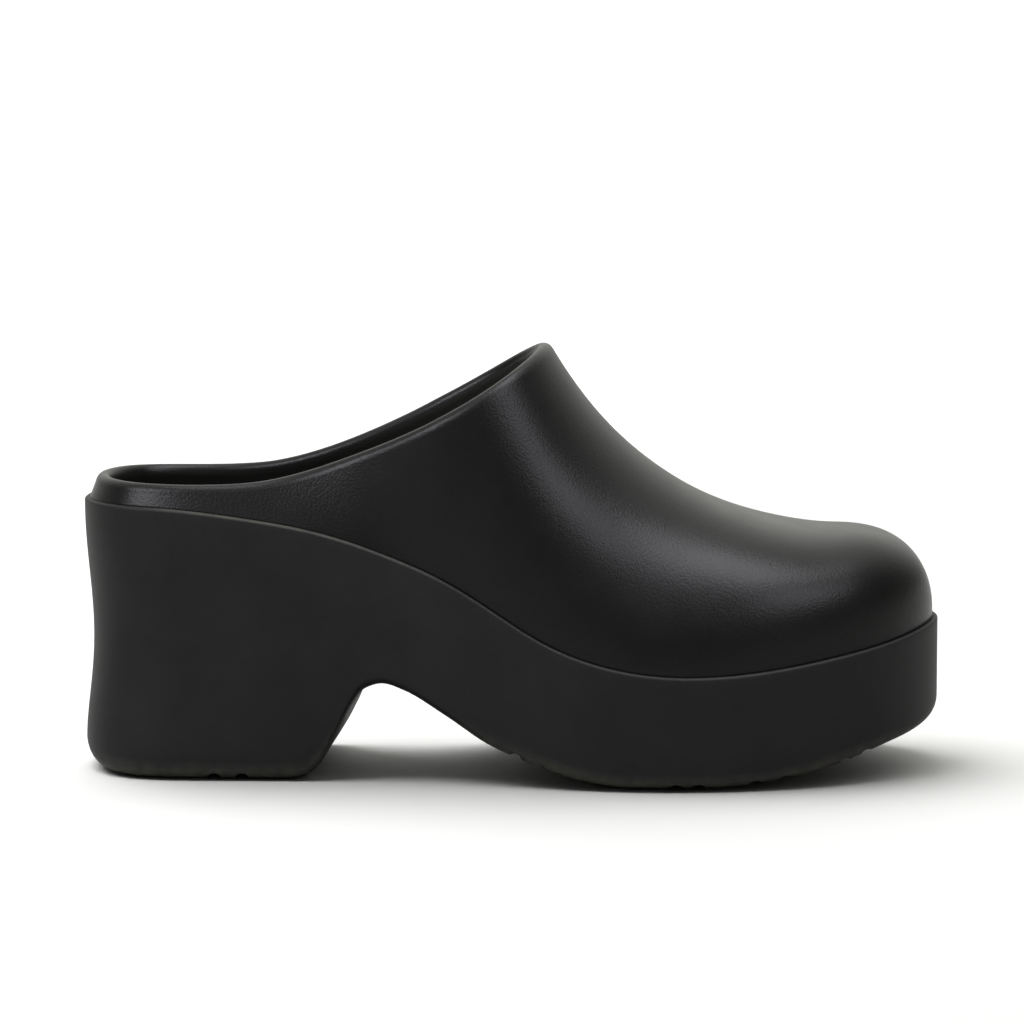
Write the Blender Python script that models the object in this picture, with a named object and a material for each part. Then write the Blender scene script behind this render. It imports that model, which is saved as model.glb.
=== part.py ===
"""Platform clog for the right foot: a hollow moulded upper, a platform sole with a block heel, and an insole.

The shoe stands on its sole. +X points to the toe, +Z up and -Y to the outer side of the foot. The origin is
on the floor, under the middle of the shoe's box. Every size below is in millimetres, and the meshes are in metres.
"""

import functools
import math
from collections import namedtuple

import bmesh
import bpy
import numpy as np

METRES_PER_MM = 0.001

# Wall and joint sizes
UPPER_WALL = 4.5
LEDGE = 1.6
INSOLE_THICKNESS = 4.0
FOOTBED_DROP = 6.0
JOINT_GAP = 0.3

# Shape of the upper
TOE_ROUNDNESS = 2.47
HEEL_BAND_LEAN = 0.38
RIM_RISE = 3.0

# Shape of the sole's side
HEEL_WAIST_DEPTH = 2.4
HEEL_WAIST_DROP = 0.85
SIDE_EDGE_RADIUS = 3.0
BACK_EDGE_RADIUS = 9.5
TOE_EDGE_RADIUS = 8.0
HEEL_UNDERCUT = 8.0
FOREFOOT_UNDERCUT = 14.0
BREAST_SLANT = 5.2
HEEL_HALF_WIDTH = 34.0
SEAM_EDGE_RADIUS = 1.0

# Tread grooves, which cross the sole in pairs
GROOVE_RADIUS = 2.0
GROOVE_DEPTH = 2.4
GroovePair = namedtuple("GroovePair", "place x spacing")
GROOVE_PAIRS = (
    GroovePair("heel", -84.1, 8.2),
    GroovePair("arch_slope", 4.1, 6.5),
    GroovePair("ball", 51.3, 6.8),
    GroovePair("toes", 76.1, 8.8),
    GroovePair("toe_spring", 101.6, 6.8),
)

# Plan outline of the sole at its upper edge, round from the back of the heel
Landmark = namedtuple("Landmark", "place x y")
OUTLINE = (
    Landmark("heel back", -128.0, 1.0),
    Landmark("heel outer corner", -116.4, -26.0),
    Landmark("heel outer side", -92.0, -31.6),
    Landmark("waist outer side", -38.0, -35.0),
    Landmark("ball outer side", 40.0, -51.8),
    Landmark("little toe", 90.0, -43.2),
    Landmark("toe outer corner", 117.0, -24.0),
    Landmark("toe tip", 128.3, 6.0),
    Landmark("toe inner corner", 118.5, 31.5),
    Landmark("big toe", 94.0, 46.0),
    Landmark("ball inner side", 56.0, 50.4),
    Landmark("waist inner side", -25.0, 34.6),
    Landmark("heel inner side", -92.0, 33.4),
    Landmark("heel inner corner", -116.0, 26.4),
)

# Side view curves, as heights above the floor along the shoe
Height = namedtuple("Height", "x z")
SEAM = (
    Height(-128.5, 81.4),
    Height(-105.0, 81.2),
    Height(-80.0, 78.4),
    Height(-55.0, 73.6),
    Height(-34.0, 66.6),
    Height(-20.0, 60.6),
    Height(-6.0, 52.4),
    Height(8.0, 43.9),
    Height(22.0, 38.2),
    Height(40.0, 34.6),
    Height(56.0, 34.0),
    Height(75.0, 35.4),
    Height(95.0, 38.3),
    Height(112.0, 41.3),
    Height(128.5, 45.0),
)
COLLAR = (
    Height(-128.0, 86.0),
    Height(-95.0, 85.1),
    Height(-70.0, 87.1),
    Height(-45.0, 94.7),
    Height(-20.0, 106.0),
    Height(0.0, 117.6),
    Height(14.0, 126.5),
)
# Behind the throat the ridge runs on over the open collar, where it only sets how far the walls lean
RIDGE = (
    Height(-94.0, 236.0),
    Height(-50.0, 213.0),
    Height(-20.0, 178.0),
    Height(0.0, 147.5),
    Height(12.0, 125.9),
    Height(25.0, 107.3),
    Height(40.0, 92.8),
    Height(58.0, 81.4),
    Height(78.0, 74.2),
    Height(98.0, 71.5),
)
UNDERSIDE = (
    Height(-128.0, 0.0),
    Height(-66.5, 0.0),
    Height(-62.8, 0.6),
    Height(-58.4, 3.6),
    Height(-54.9, 8.8),
    Height(-51.5, 15.2),
    Height(-47.7, 22.4),
    Height(-44.0, 27.2),
    Height(-38.5, 28.8),
    Height(-32.0, 26.9),
    Height(-20.0, 19.9),
    Height(-6.0, 11.0),
    Height(8.0, 5.5),
    Height(20.0, 1.8),
    Height(34.0, 0.0),
    Height(60.0, 0.0),
    Height(72.0, 0.9),
    Height(84.0, 2.5),
    Height(98.0, 5.7),
    Height(112.0, 9.7),
    Height(128.5, 12.8),
)
# Sideways place of the ridge, which lies towards the big toe
Sideways = namedtuple("Sideways", "x y")
RIDGE_LINE = (
    Sideways(-94.0, 1.0),
    Sideways(10.0, 2.0),
    Sideways(60.0, 5.0),
    Sideways(90.0, 6.0),
)

# Power of the superellipse that gives the section across the upper, fuller over the toes
Fullness = namedtuple("Fullness", "x power")
SECTION = (
    Fullness(-94.0, 2.15),
    Fullness(-20.0, 2.0),
    Fullness(0.0, 1.85),
    Fullness(22.0, 1.8),
    Fullness(55.0, 2.1),
    Fullness(80.0, 2.8),
    Fullness(105.0, 3.0),
)

# Section planes: a fan round the heel, parallel planes between, and a fan round the toe
HEEL_FAN_X = -94.0
TOE_FAN_X = 90.0
FAN_RIBS = 15
BREAST_FRONT_X = -33.0
BREAST_BACK_X = -62.5
THROAT_STEPS = (0.5, 1.8, 4.0, 7.5, 12.0, 18.0)
UPPER_STEPS = 10
RIM_STEPS = 4
EDGE_STEPS = 4
WALL_STEPS = 6
SEAT_SHARE = 0.6
OUTLINE_SAMPLES = 1440

Rib = namedtuple("Rib", "part centre direction")
OUTER_SIDE = np.array((0.0, -1.0))
INNER_SIDE = np.array((0.0, 1.0))


def smooth_curve(rows, start_slope=None, end_slope=None):
    """A curve with an even change of slope through a table of two columns. An end with no slope runs out straight."""
    along, across = np.array(rows, float).T
    step = np.diff(along)
    rise = np.diff(across) / step
    count = len(along)
    matrix = np.zeros((count, count))
    right = np.zeros(count)
    for i in range(1, count - 1):
        matrix[i, i - 1 : i + 2] = 1 / step[i - 1], 2 / step[i - 1] + 2 / step[i], 1 / step[i]
        right[i] = 3 * (rise[i - 1] / step[i - 1] + rise[i] / step[i])
    matrix[0, :2] = (2, 1) if start_slope is None else (1, 0)
    right[0] = 3 * rise[0] if start_slope is None else start_slope
    matrix[-1, -2:] = (1, 2) if end_slope is None else (0, 1)
    right[-1] = 3 * rise[-1] if end_slope is None else end_slope
    return hermite(along, across, np.linalg.solve(matrix, right))


def steady_curve(rows):
    """A curve through a table of two columns that never overshoots its rows, so a flat stretch stays flat."""
    along, across = np.array(rows, float).T
    rise = np.diff(across) / np.diff(along)
    slopes = np.zeros(len(along))
    slopes[0], slopes[-1] = rise[0], rise[-1]
    for i in range(1, len(along) - 1):
        if rise[i - 1] * rise[i] > 0:
            slopes[i] = 2 * rise[i - 1] * rise[i] / (rise[i - 1] + rise[i])
    return hermite(along, across, slopes)


def hermite(along, across, slopes):
    """The cubic curve with these heights and slopes at these places."""

    def curve(x):
        x = np.clip(np.asarray(x, float), along[0], along[-1])
        i = np.clip(np.searchsorted(along, x) - 1, 0, len(along) - 2)
        span = along[i + 1] - along[i]
        t = (x - along[i]) / span
        ahead, bend = t * t * (3 - 2 * t), t * (1 - t)
        slope_part = span * bend * (slopes[i] * (1 - t) - slopes[i + 1] * t)
        return across[i] + (across[i + 1] - across[i]) * ahead + slope_part

    return curve


def closed_curve(points, samples):
    """Points along the smooth closed curve through these points, by arc length between them."""
    points = np.array(points, float)
    count = len(points)
    step = np.linalg.norm(np.roll(points, -1, axis=0) - points, axis=1)
    rise = (np.roll(points, -1, axis=0) - points) / step[:, None]
    matrix = np.zeros((count, count))
    right = np.zeros((count, 2))
    for i in range(count):
        before = step[i - 1]
        matrix[i, i - 1] += 1 / before
        matrix[i, i] += 2 / before + 2 / step[i]
        matrix[i, (i + 1) % count] += 1 / step[i]
        right[i] = 3 * (rise[i - 1] / before + rise[i] / step[i])
    slopes = np.linalg.solve(matrix, right)
    knots = np.concatenate(([0.0], np.cumsum(step)))
    places = np.linspace(0.0, knots[-1], samples, endpoint=False)
    ends = [np.append(points[:, k], points[0, k]) for k in (0, 1)]
    turns = [np.append(slopes[:, k], slopes[0, k]) for k in (0, 1)]
    return np.stack([hermite(knots, ends[k], turns[k])(places) for k in (0, 1)], axis=1)


@functools.lru_cache(maxsize=None)
def outline(inset):
    """Points of the plan outline, moved in by inset along its own normals."""
    points = closed_curve([(mark.x, mark.y) for mark in OUTLINE], OUTLINE_SAMPLES)
    along = np.roll(points, -1, axis=0) - np.roll(points, 1, axis=0)
    inward = np.stack((-along[:, 1], along[:, 0]), axis=1)
    return points + inset * inward / np.linalg.norm(inward, axis=1)[:, None]


@functools.lru_cache(maxsize=None)
def outline_sides(inset):
    """The outline's outer and inner side, each as (x, y) columns from heel to toe."""
    points = outline(inset)
    points = np.roll(points, -int(points[:, 0].argmin()), axis=0)
    tip = int(points[:, 0].argmax())
    inner = np.vstack((points[tip:], points[:1]))[::-1]
    return points[: tip + 1].T, inner.T


def reach(rib, inset):
    """The place where a rib meets the outline moved in by inset."""
    away = outline(inset) - rib.centre
    ahead = away @ rib.direction
    aside = away @ np.array((-rib.direction[1], rib.direction[0]))
    after = np.roll(aside, -1)
    crossing = np.flatnonzero((aside * after <= 0) & (ahead > 0) & (aside != after))
    share = aside[crossing] / (aside[crossing] - after[crossing])
    distance = ahead[crossing] + share * (np.roll(ahead, -1)[crossing] - ahead[crossing])
    return rib.centre + rib.direction * distance.min()


seam_height = smooth_curve(SEAM)
collar_height = smooth_curve(COLLAR)
outer_underside = steady_curve(UNDERSIDE)
ridge_side = smooth_curve(RIDGE_LINE, start_slope=0.0, end_slope=0.0)
vamp_height = smooth_curve(RIDGE, end_slope=0.0)
section_power = smooth_curve(SECTION, start_slope=0.0, end_slope=0.0)


def fade(x, start, end):
    """Goes evenly from 1 at start to 0 at end."""
    share = min(max((x - start) / (end - start), 0.0), 1.0)
    return 1.0 - share * share * (3.0 - 2.0 * share)


def underside_height(place):
    """Height of the underside at a place of the plan. The heel reaches further forward on the inner side."""
    across = min(max(place[1] / HEEL_HALF_WIDTH, -1.0), 1.0)
    ahead = BREAST_SLANT * (1 + across) / 2 * fade(place[0], -48.0, -30.0)
    return float(outer_underside(place[0] - ahead))


def ridge_height(x):
    """Top line of the upper: the vamp, then a rounded quarter over the toe down to the seam at the tip."""
    start, end = RIDGE[-1].x, outline(LEDGE)[:, 0].max()
    share = np.clip((x - start) / (end - start), 0.0, 1.0)
    drop = (1 - share**TOE_ROUNDNESS) ** (1 / TOE_ROUNDNESS)
    tip = seam_height(end)
    return np.where(x <= start, vamp_height(x), tip + (vamp_height(start) - tip) * drop)


def vamp_surface(x, y):
    """Height of the upper's outer face at a place of the plan, from the section across the shoe there."""
    sides = outline_sides(LEDGE)
    middle = ridge_side(x)
    edge = np.where(y < middle, np.interp(x, *sides[0]), np.interp(x, *sides[1]))
    share = np.clip((y - middle) / np.where(edge == middle, 1.0, edge - middle), 0.0, 1.0)
    power = section_power(x)
    arch = (1 - share**power) ** (1 / power)
    return seam_height(x) + (ridge_height(x) - seam_height(x)) * arch


def throat_place():
    """Where the collar's cut meets the ridge, at the front of the foot opening."""
    low, high = 0.0, RIDGE[-1].x
    while high - low > 1e-6:
        middle = (low + high) / 2
        if collar_height(middle) < ridge_height(middle):
            low = middle
        else:
            high = middle
    return (low + high) / 2


THROAT_X = throat_place()


def stations():
    """Places of the parallel section planes, closer together at the heel breast and the throat."""
    spans = (
        np.linspace(HEEL_FAN_X, BREAST_BACK_X, 6)[:-1],
        np.linspace(BREAST_BACK_X, BREAST_FRONT_X, 13)[:-1],
        np.linspace(BREAST_FRONT_X, THROAT_X - THROAT_STEPS[-1], 6)[:-1],
        THROAT_X - np.array(THROAT_STEPS[::-1]),
        np.linspace(THROAT_X, TOE_FAN_X, 14),
    )
    return np.concatenate(spans)


def fan(part, x, from_side):
    """Ribs between the outer and the inner side, round one end of the shoe."""
    centre = np.array((x, float(ridge_side(x))))
    toward = 1.0 if part == "toe" else -1.0
    turns = np.linspace(0.0, math.pi, FAN_RIBS + 2)[1:-1]
    return [
        Rib(part, centre, np.array((toward * math.sin(turn), from_side[1] * math.cos(turn))))
        for turn in turns
    ]


def ribs():
    """All ribs in one ring: back along the outer side, round the heel, forward along the inner side, round the toe."""
    places = stations()
    centres = [np.array((x, float(ridge_side(x)))) for x in places]
    outer = [Rib("middle", centre, OUTER_SIDE) for centre in centres[::-1]]
    inner = [Rib("middle", centre, INNER_SIDE) for centre in centres]
    return outer + fan("heel", HEEL_FAN_X, OUTER_SIDE) + inner + fan("toe", TOE_FAN_X, INNER_SIDE)


class Skin:
    """Points and faces of one piece, woven from a ring of columns that may share their end points."""

    def __init__(self):
        self.points = []
        self.faces = []
        self.shared = {}

    def add(self, points):
        first = len(self.points)
        self.points.extend(np.asarray(point, float) for point in points)
        return list(range(first, len(self.points)))

    def add_shared(self, name, rib, height):
        """The point on a rib's centre line at this height, one for all the ribs of that centre."""
        key = (name, float(rib.centre[0]))
        if key not in self.shared:
            self.shared[key] = self.add([(*rib.centre, height)])[0]
        return self.shared[key]

    def weave(self, columns, closed=True):
        followers = columns[1:] + columns[:1] if closed else columns[1:]
        for column, follower in zip(columns, followers):
            for j in range(len(column) - 1):
                corners = (column[j], follower[j], follower[j + 1], column[j + 1])
                face = list(dict.fromkeys(corners))
                if len(face) > 2:
                    self.faces.append(face)


def bmesh_of(skin):
    mesh = bmesh.new()
    verts = [mesh.verts.new(point * METRES_PER_MM) for point in skin.points]
    for face in skin.faces:
        mesh.faces.new([verts[i] for i in face])
    bmesh.ops.recalc_face_normals(mesh, faces=mesh.faces)
    mesh.normal_update()
    return mesh


def solid(name, skin, material):
    """One closed, smooth shaded object from a skin."""
    mesh = bpy.data.meshes.new(name)
    built = bmesh_of(skin)
    built.to_mesh(mesh)
    built.free()
    mesh.shade_smooth()
    mesh.set_sharp_from_angle(angle=math.radians(40))
    mesh.materials.append(material)
    piece = bpy.data.objects.new(name, mesh)
    bpy.context.scene.collection.objects.link(piece)
    return piece


def finish(name, colour, roughness):
    material = bpy.data.materials.new(name)
    material.use_nodes = True
    shader = material.node_tree.nodes["Principled BSDF"]
    shader.inputs["Base Color"].default_value = (*colour, 1.0)
    shader.inputs["Roughness"].default_value = roughness
    shader.inputs["Metallic"].default_value = 0.0
    return material


def upper_column(rib):
    """Points up the outer face of the upper on one rib, from the seam to the collar or the ridge."""
    foot = reach(rib, LEDGE)
    seam, centre_x = float(seam_height(foot[0])), float(rib.centre[0])
    rise = float(ridge_height(centre_x)) - seam
    open_top = rib.part == "heel" or (rib.part == "middle" and centre_x < THROAT_X)
    share = (float(collar_height(foot[0])) - seam) / rise if open_top else 1.0
    power = float(section_power(centre_x))
    end = math.asin(min(share, 1.0) ** (power / 2))
    lean = HEEL_BAND_LEAN * fade(foot[0], -75.0, -20.0) if open_top else 0.0
    column = []
    for turn in np.linspace(0.0, end, UPPER_STEPS + 1):
        inside = max(math.cos(turn), 0.0) ** (2 / power)
        lift = rise * math.sin(turn) ** (2 / power)
        place = rib.centre + (foot - rib.centre) * inside - rib.direction * lean * lift
        height = vamp_surface(*place) if rib.part == "toe" else seam + lift
        column.append((*place, float(height)))
    return column, open_top


def outer_face(rings):
    """The outer face of the upper as a skin, its columns, and which of them end at the collar."""
    skin = Skin()
    columns, open_tops = [], []
    for rib in rings:
        points, open_top = upper_column(rib)
        column = skin.add(points if open_top else points[:-1])
        if not open_top:
            column.append(skin.add_shared("ridge", rib, points[-1][2]))
        columns.append(column)
        open_tops.append(open_top)
    skin.weave(columns)
    return skin, columns, open_tops


def collar_loop(rings, open_tops):
    """Positions in the ring of the ribs round the foot opening, from the throat back and forward to it again."""
    throat = [i for i, rib in enumerate(rings) if rib.part == "middle" and rib.centre[0] == THROAT_X]
    first = throat[0]
    return [i for i in range(first, len(rings)) if open_tops[i] or i == first]


def upper(rings, material):
    """The hollow upper: an outer face, an inner face one wall inside it, a round rim and a flat foot on the ledge."""
    skin, columns, open_tops = outer_face(rings)
    shell = bmesh_of(skin)
    shell.verts.ensure_lookup_table()
    normals = np.array([vert.normal for vert in shell.verts])
    shell.free()
    points = np.array(skin.points)
    feet = [column[0] for column in columns]
    lift = points[:, 2] - seam_height(points[:, 0])
    normals[:, 2] *= np.clip(lift / (2 * UPPER_WALL), 0.0, 1.0)
    normals /= np.linalg.norm(normals, axis=1)[:, None]
    inner = points - UPPER_WALL * normals
    points[feet, 2] = seam_height(points[feet, 0]) + JOINT_GAP
    inner[feet, 2] = seam_height(inner[feet, 0]) + JOINT_GAP
    skin.points = list(points)
    inside = skin.add(inner)
    inner_columns = [[inside[i] for i in column] for column in columns]
    skin.weave(inner_columns)
    skin.weave([[a[0], b[0]] for a, b in zip(columns, inner_columns)])
    add_rim(skin, rings, columns, inner_columns, open_tops, normals)
    return solid("upper", skin, material)


def add_rim(skin, rings, columns, inner_columns, open_tops, normals):
    """Closes the wall round the foot opening with a half round rim."""
    loop = collar_loop(rings, open_tops)
    tops = [columns[i][-1] for i in loop]
    places = np.array([skin.points[i] for i in tops])
    along = np.roll(places, -1, axis=0) - np.roll(places, 1, axis=0)
    out = np.cross(along, normals[tops])
    out /= np.linalg.norm(out, axis=1)[:, None]
    if out[len(out) // 2, 2] < 0:
        out = -out
    rim = []
    for top, bottom, rise in zip(tops, (inner_columns[i][-1] for i in loop), out):
        middle = (skin.points[top] + skin.points[bottom]) / 2
        half = skin.points[top] - middle
        turns = np.linspace(0.0, math.pi, RIM_STEPS + 1)[1:-1]
        arc = skin.add(middle + half * math.cos(t) + rise * RIM_RISE * math.sin(t) for t in turns)
        rim.append([top, *arc, bottom])
    skin.weave(rim)


def lower_edge(rib):
    """Height and undercut of the sole's rounded lower edge, which rolls up higher at the heel and the toe."""
    undercut = FOREFOOT_UNDERCUT + (HEEL_UNDERCUT - FOREFOOT_UNDERCUT) * fade(rib.centre[0], -50.0, 40.0)
    end = BACK_EDGE_RADIUS if rib.part == "heel" else TOE_EDGE_RADIUS
    turned = rib.direction[0] ** 6
    return SIDE_EDGE_RADIUS + (end - SIDE_EDGE_RADIUS) * turned, undercut + (end - undercut) * turned


def waist_depth(rib):
    """How far the heel's side curves in at half its height."""
    if rib.part == "toe":
        return 0.0
    return HEEL_WAIST_DEPTH * fade(reach(rib, 0.0)[0], -128.0, -40.0)


def sole_column(rib):
    """Points up the sole's side on one rib, from its lower edge to the seam, over the ledge and into the footbed."""
    (roll, undercut), waist = lower_edge(rib), waist_depth(rib)
    top = float(seam_height(reach(rib, 0.0)[0]))
    column = []
    for turn in np.linspace(0.0, math.pi / 2, EDGE_STEPS + 1):
        place = reach(rib, round(undercut * (1 - math.sin(turn)), 4))
        column.append((*place, underside_height(place) + roll * (1 - math.cos(turn))))
    low = column[-1][2]
    high = top - SEAM_EDGE_RADIUS
    for share in np.linspace(0.0, 1.0, WALL_STEPS + 1)[1:]:
        place = reach(rib, round(waist * math.sin(math.pi * share**HEEL_WAIST_DROP) ** 2, 4))
        column.append((*place, low + (high - low) * share))
    for inset in (SEAM_EDGE_RADIUS, LEDGE + UPPER_WALL):
        place = reach(rib, inset)
        column.append((*place, float(seam_height(place[0]))))
    return column


def sole(rings, material):
    """The platform sole with its heel, arch and toe spring, and a recess for the insole inside its ledge."""
    skin = Skin()
    columns = []
    for rib in rings:
        centre_x = float(rib.centre[0])
        side = sole_column(rib)
        under = []
        for share in (0.4, 0.75):
            place = rib.centre + (np.array(side[0][:2]) - rib.centre) * share
            under.append((*place, underside_height(place)))
        seat_edge = np.array(side[-1][:2])
        seat = []
        for share in (1.0, SEAT_SHARE):
            place = rib.centre + (seat_edge - rib.centre) * share
            seat.append((*place, float(seam_height(place[0])) - FOOTBED_DROP - INSOLE_THICKNESS))
        start = skin.add_shared("underside", rib, underside_height(rib.centre))
        end_height = float(seam_height(centre_x)) - FOOTBED_DROP - INSOLE_THICKNESS
        end = skin.add_shared("seat", rib, end_height)
        columns.append([start, *skin.add(under + side + seat), end])
    skin.weave(columns)
    return solid("platform_sole", skin, material)


def insole(rings, material):
    """The insole, a soft sheet with rounded upper edges that fills the recess in the sole."""
    skin = Skin()
    columns = []
    layers = (
        (JOINT_GAP, JOINT_GAP),
        (JOINT_GAP, INSOLE_THICKNESS - 1.0),
        (JOINT_GAP + 1.0, INSOLE_THICKNESS),
    )
    for rib in rings:
        within = rib.centre + (reach(rib, LEDGE + UPPER_WALL) - rib.centre) * SEAT_SHARE
        points = [(*within, insole_height(within[0], JOINT_GAP))]
        for inset, lift in layers:
            place = reach(rib, LEDGE + UPPER_WALL + inset)
            points.append((*place, insole_height(place[0], lift)))
        points.append((*within, insole_height(within[0], INSOLE_THICKNESS)))
        start = skin.add_shared("below", rib, insole_height(rib.centre[0], JOINT_GAP))
        end = skin.add_shared("above", rib, insole_height(rib.centre[0], INSOLE_THICKNESS))
        columns.append([start, *skin.add(points), end])
    skin.weave(columns)
    return solid("insole", skin, material)


def insole_height(x, lift):
    """Height of a place in the insole, lift above the bottom of its recess."""
    return float(seam_height(x)) - FOOTBED_DROP - INSOLE_THICKNESS + lift


def cut_grooves(piece):
    """Cuts the pairs of tread grooves across the underside of the sole."""
    width = 1.2 * max(abs(mark.y) for mark in OUTLINE) * 2 * METRES_PER_MM
    for pair in GROOVE_PAIRS:
        for side in (-1, 1):
            x = pair.x + side * pair.spacing / 2
            z = underside_height((x, 0.0)) + GROOVE_DEPTH - GROOVE_RADIUS
            mesh = bmesh.new()
            radius = GROOVE_RADIUS * METRES_PER_MM
            bmesh.ops.create_cone(
                mesh, cap_ends=True, segments=10, radius1=radius, radius2=radius, depth=width
            )
            data = bpy.data.meshes.new("groove")
            mesh.to_mesh(data)
            mesh.free()
            name = f"groove_cutter_{pair.place}_{'front' if side > 0 else 'back'}"
            cutter = bpy.data.objects.new(name, data)
            cutter.location = (x * METRES_PER_MM, 0.0, z * METRES_PER_MM)
            cutter.rotation_euler = (math.pi / 2, 0.0, 0.0)
            cutter.hide_render = True
            cutter.display_type = "WIRE"
            bpy.context.scene.collection.objects.link(cutter)
            cut = piece.modifiers.new(name, "BOOLEAN")
            cut.operation = "DIFFERENCE"
            cut.object = cutter


def clear_scene():
    for piece in list(bpy.data.objects):
        bpy.data.objects.remove(piece, do_unlink=True)


def main():
    clear_scene()
    rings = ribs()
    upper(rings, finish("upper_foam", (0.018, 0.018, 0.018), 0.42))
    platform = sole(rings, finish("sole_foam", (0.016, 0.016, 0.016), 0.55))
    cut_grooves(platform)
    insole(rings, finish("insole_foam", (0.014, 0.014, 0.014), 0.65))


main()
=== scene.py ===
"""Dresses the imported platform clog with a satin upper, a matte sole and an insole, in a pale studio.

The shoe's curves are the same tables that shape its solids, sampled much more finely. Lengths in the
tables are in millimetres, and +X points to the toe, +Z up and -Y to the outer side of the foot.
"""

import functools
import math
from collections import namedtuple

import bmesh
import bpy
import numpy as np
from bpy.props import FloatProperty, FloatVectorProperty, PointerProperty
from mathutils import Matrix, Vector


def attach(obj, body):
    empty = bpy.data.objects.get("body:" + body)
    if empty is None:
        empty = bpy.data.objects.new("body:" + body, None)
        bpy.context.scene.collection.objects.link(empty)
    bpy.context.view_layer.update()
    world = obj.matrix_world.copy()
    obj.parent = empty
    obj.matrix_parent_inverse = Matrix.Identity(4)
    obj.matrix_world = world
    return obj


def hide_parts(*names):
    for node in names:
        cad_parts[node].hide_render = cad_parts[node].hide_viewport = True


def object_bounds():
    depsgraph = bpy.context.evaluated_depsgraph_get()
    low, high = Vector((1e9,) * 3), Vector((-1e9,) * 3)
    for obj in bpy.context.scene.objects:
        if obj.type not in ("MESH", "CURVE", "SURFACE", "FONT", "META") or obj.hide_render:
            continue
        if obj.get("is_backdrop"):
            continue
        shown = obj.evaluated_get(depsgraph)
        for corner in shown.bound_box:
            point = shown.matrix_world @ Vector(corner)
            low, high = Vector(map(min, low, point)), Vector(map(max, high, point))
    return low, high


bl_info = {
    "name": "Platform Clog",
    "version": (1, 0, 0),
    "blender": (4, 5, 0),
    "location": "View3D > Sidebar > Clog",
    "description": "Dresses a moulded platform clog and sets it in a pale studio",
    "category": "Object",
}

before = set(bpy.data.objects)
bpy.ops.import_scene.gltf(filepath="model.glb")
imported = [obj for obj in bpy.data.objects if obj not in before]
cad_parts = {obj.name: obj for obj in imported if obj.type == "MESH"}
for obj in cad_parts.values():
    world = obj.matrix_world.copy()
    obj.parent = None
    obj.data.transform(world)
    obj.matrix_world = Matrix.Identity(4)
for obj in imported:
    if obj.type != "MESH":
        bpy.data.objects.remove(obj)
CAD_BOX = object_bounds()

MM = 0.001

# Form of the upper. A fade, here and below, holds where a form is whole and where it has gone
TOE_ROUNDNESS = 2.47
HEEL_BAND_LEAN = 0.38
HEEL_BAND_FADE = (-75.0, -20.0)
FOOT_GAP = 0.1

# Form of the sole's side
HEEL_WAIST_DEPTH = 2.4
HEEL_WAIST_DROP = 0.85
HEEL_WAIST_FADE = (-128.0, -40.0)
BACK_EDGE_RADIUS = 9.5
TOE_EDGE_RADIUS = 8.0
EDGE_TURN_POWER = 6
HEEL_UNDERCUT = 8.0
FOREFOOT_UNDERCUT = 14.0
HEEL_UNDERCUT_FADE = (-50.0, 40.0)
BREAST_SLANT = 5.2
BREAST_SLANT_FADE = (-48.0, -30.0)
HEEL_HALF_WIDTH = 34.0
FOOTBED_DROP = 6.0

# Form of the insole
INSOLE_EDGE_RADIUS = 1.0
INSOLE_CUP_POWER = 4
INSOLE_UNDER_SHARES = (0.4, 0.8)

# Painted light on the sole: painted floor bounce in a band over its rounded lower edge, near the floor,
# and less of it as a painted glint on the ledge behind the arch. A rise runs the other way from a fade
BOUNCE_BAND_RISE = (0.2, 1.0)
BOUNCE_BAND_FADE = (1.5, 6.0)
BOUNCE_HEIGHT_FADE = (8.0, 24.0)
LEDGE_GLINT = 0.7
LEDGE_GLINT_DROP_FADE = (0.2, 1.1)
LEDGE_GLINT_RISE = (-112.0, -94.0)
LEDGE_GLINT_FADE = (-34.0, -16.0)
GROOVE_WALL_SLACK = 0.01

# Tread grooves, which cross the sole in pairs
GroovePair = namedtuple("GroovePair", "place x spacing")
GROOVE_PAIRS = (
    GroovePair("heel", -84.1, 8.2),
    GroovePair("arch_slope", 4.1, 6.5),
    GroovePair("ball", 51.3, 6.8),
    GroovePair("toes", 76.1, 8.8),
    GroovePair("toe_spring", 101.6, 6.8),
)

# Plan outline of the sole at its upper edge, round from the back of the heel
Landmark = namedtuple("Landmark", "place x y")
OUTLINE = (
    Landmark("heel back", -128.0, 1.0),
    Landmark("heel outer corner", -116.4, -26.0),
    Landmark("heel outer side", -92.0, -31.6),
    Landmark("waist outer side", -38.0, -35.0),
    Landmark("ball outer side", 40.0, -51.8),
    Landmark("little toe", 90.0, -43.2),
    Landmark("toe outer corner", 117.0, -24.0),
    Landmark("toe tip", 128.3, 6.0),
    Landmark("toe inner corner", 118.5, 31.5),
    Landmark("big toe", 94.0, 46.0),
    Landmark("ball inner side", 56.0, 50.4),
    Landmark("waist inner side", -25.0, 34.6),
    Landmark("heel inner side", -92.0, 33.4),
    Landmark("heel inner corner", -116.0, 26.4),
)

# Side view curves, as heights above the floor along the shoe
Height = namedtuple("Height", "x z")
SEAM = (
    Height(-128.5, 81.4),
    Height(-105.0, 81.2),
    Height(-80.0, 78.4),
    Height(-55.0, 73.6),
    Height(-34.0, 66.6),
    Height(-20.0, 60.6),
    Height(-6.0, 52.4),
    Height(8.0, 43.9),
    Height(22.0, 38.2),
    Height(40.0, 34.6),
    Height(56.0, 34.0),
    Height(75.0, 35.4),
    Height(95.0, 38.3),
    Height(112.0, 41.3),
    Height(128.5, 45.0),
)
COLLAR = (
    Height(-128.0, 86.0),
    Height(-95.0, 85.1),
    Height(-70.0, 87.1),
    Height(-45.0, 94.7),
    Height(-20.0, 106.0),
    Height(0.0, 117.6),
    Height(14.0, 126.5),
)
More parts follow.
